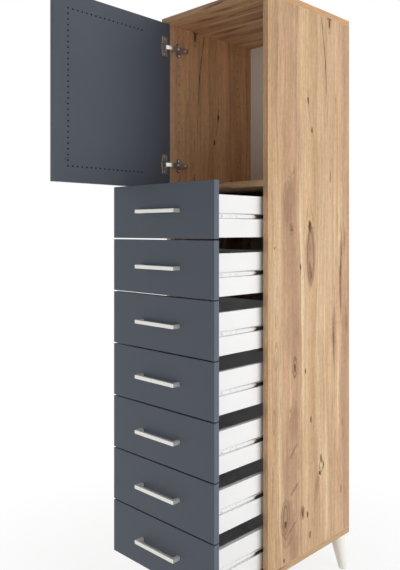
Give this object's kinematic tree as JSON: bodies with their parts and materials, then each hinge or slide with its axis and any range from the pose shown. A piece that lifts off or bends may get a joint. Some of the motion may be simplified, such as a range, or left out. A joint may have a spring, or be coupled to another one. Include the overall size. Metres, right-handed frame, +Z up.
{
  "type": "chifforobe",
  "caption": "Tall narrow chifforobe: a stack of drawers on ball-bearing runners under a cupboard with a hinged door, on splayed tapered legs.",
  "frame": {"origin": "on the floor, midway between the side panels, in the plane of their front edges", "axes": "+Z up, +X to the right of someone facing the fronts, -Y out of the front"},
  "size_m": [0.4451, 0.8668, 1.82],
  "materials": {
    "oak_laminate": "embossed rustic oak-look melamine on particle board",
    "slate_melamine": "matt slate-grey melamine on particle board",
    "white_melamine": "white melamine on board",
    "back_hardboard": "grey-painted hardboard",
    "beech_dowel": "fluted dowel, unfinished",
    "painted_leg": "off-white satin paint on turned beech",
    "satin_nickel": "satin nickel plate",
    "hinge_nickel": "bright nickel plate",
    "zinc_steel": "zinc-plated cold-rolled steel"
  },
  "bodies": {
    "carcass": {"top_panel": "oak_laminate", "bottom_panel": "oak_laminate", "left_side_panel": "oak_laminate", "right_side_panel": "oak_laminate", "fixed_shelf": "oak_laminate", "back_panel": "back_hardboard", "carcass_dowels": "beech_dowel", "legs": "painted_leg", "leg_plates": "zinc_steel", "leg_fasteners": "zinc_steel", "left_cabinet_runners": "zinc_steel", "right_cabinet_runners": "zinc_steel", "hinge_mounting_plates": "hinge_nickel", "hinge_arms": "hinge_nickel"},
    "door": {"door_panel": "slate_melamine", "hinge_cups": "hinge_nickel", "door_handle": "satin_nickel"},
    "hinge_links": {"hinge_links": "hinge_nickel"},
    "drawer_1": {"drawer_1_front": "slate_melamine", "drawer_1_sides": "white_melamine", "drawer_1_back": "white_melamine", "drawer_1_bottom": "white_melamine", "drawer_1_handle": "satin_nickel", "drawer_1_runners": "zinc_steel"},
    "drawer_2": {"drawer_2_front": "slate_melamine", "drawer_2_sides": "white_melamine", "drawer_2_back": "white_melamine", "drawer_2_bottom": "white_melamine", "drawer_2_handle": "satin_nickel", "drawer_2_runners": "zinc_steel"},
    "drawer_3": {"drawer_3_front": "slate_melamine", "drawer_3_sides": "white_melamine", "drawer_3_back": "white_melamine", "drawer_3_bottom": "white_melamine", "drawer_3_handle": "satin_nickel", "drawer_3_runners": "zinc_steel"},
    "drawer_4": {"drawer_4_front": "slate_melamine", "drawer_4_sides": "white_melamine", "drawer_4_back": "white_melamine", "drawer_4_bottom": "white_melamine", "drawer_4_handle": "satin_nickel", "drawer_4_runners": "zinc_steel"},
    "drawer_5": {"drawer_5_front": "slate_melamine", "drawer_5_sides": "white_melamine", "drawer_5_back": "white_melamine", "drawer_5_bottom": "white_melamine", "drawer_5_handle": "satin_nickel", "drawer_5_runners": "zinc_steel"},
    "drawer_6": {"drawer_6_front": "slate_melamine", "drawer_6_sides": "white_melamine", "drawer_6_back": "white_melamine", "drawer_6_bottom": "white_melamine", "drawer_6_handle": "satin_nickel", "drawer_6_runners": "zinc_steel"},
    "drawer_7": {"drawer_7_front": "slate_melamine", "drawer_7_sides": "white_melamine", "drawer_7_back": "white_melamine", "drawer_7_bottom": "white_melamine", "drawer_7_handle": "satin_nickel", "drawer_7_runners": "zinc_steel"}
  },
  "joints": [
    {"name": "drawer_1_slide", "type": "slide", "parent": "carcass", "child": "drawer_1", "axis": [0, -1, 0], "range_m": [-0.196, 0.06]},
    {"name": "drawer_2_slide", "type": "slide", "parent": "carcass", "child": "drawer_2", "axis": [0, -1, 0], "range_m": [-0.196, 0.06]},
    {"name": "drawer_3_slide", "type": "slide", "parent": "carcass", "child": "drawer_3", "axis": [0, -1, 0], "range_m": [-0.196, 0.06]},
    {"name": "drawer_4_slide", "type": "slide", "parent": "carcass", "child": "drawer_4", "axis": [0, -1, 0], "range_m": [-0.196, 0.06]},
    {"name": "drawer_5_slide", "type": "slide", "parent": "carcass", "child": "drawer_5", "axis": [0, -1, 0], "range_m": [-0.196, 0.06]},
    {"name": "drawer_6_slide", "type": "slide", "parent": "carcass", "child": "drawer_6", "axis": [0, -1, 0], "range_m": [-0.196, 0.06]},
    {"name": "drawer_7_slide", "type": "slide", "parent": "carcass", "child": "drawer_7", "axis": [0, -1, 0], "range_m": [-0.196, 0.06]},
    {"name": "door_hinge", "type": "hinge", "parent": "carcass", "child": "door", "pos_m": [-0.2105, -0.02, 1.52985], "axis": [0, 0, 1], "range_deg": [-6.7, 88.3]},
    {"name": "hinge_link_turn", "type": "hinge", "parent": "carcass", "child": "hinge_links", "pos_m": [-0.1866, -0.0078, 1.52985], "axis": [0, 0, 1], "range_deg": [-71, 5.5]}
  ],
  "couplings": [
    {"joint": "hinge_link_turn", "follows": "door_hinge", "ratio": -0.8022}
  ]
}
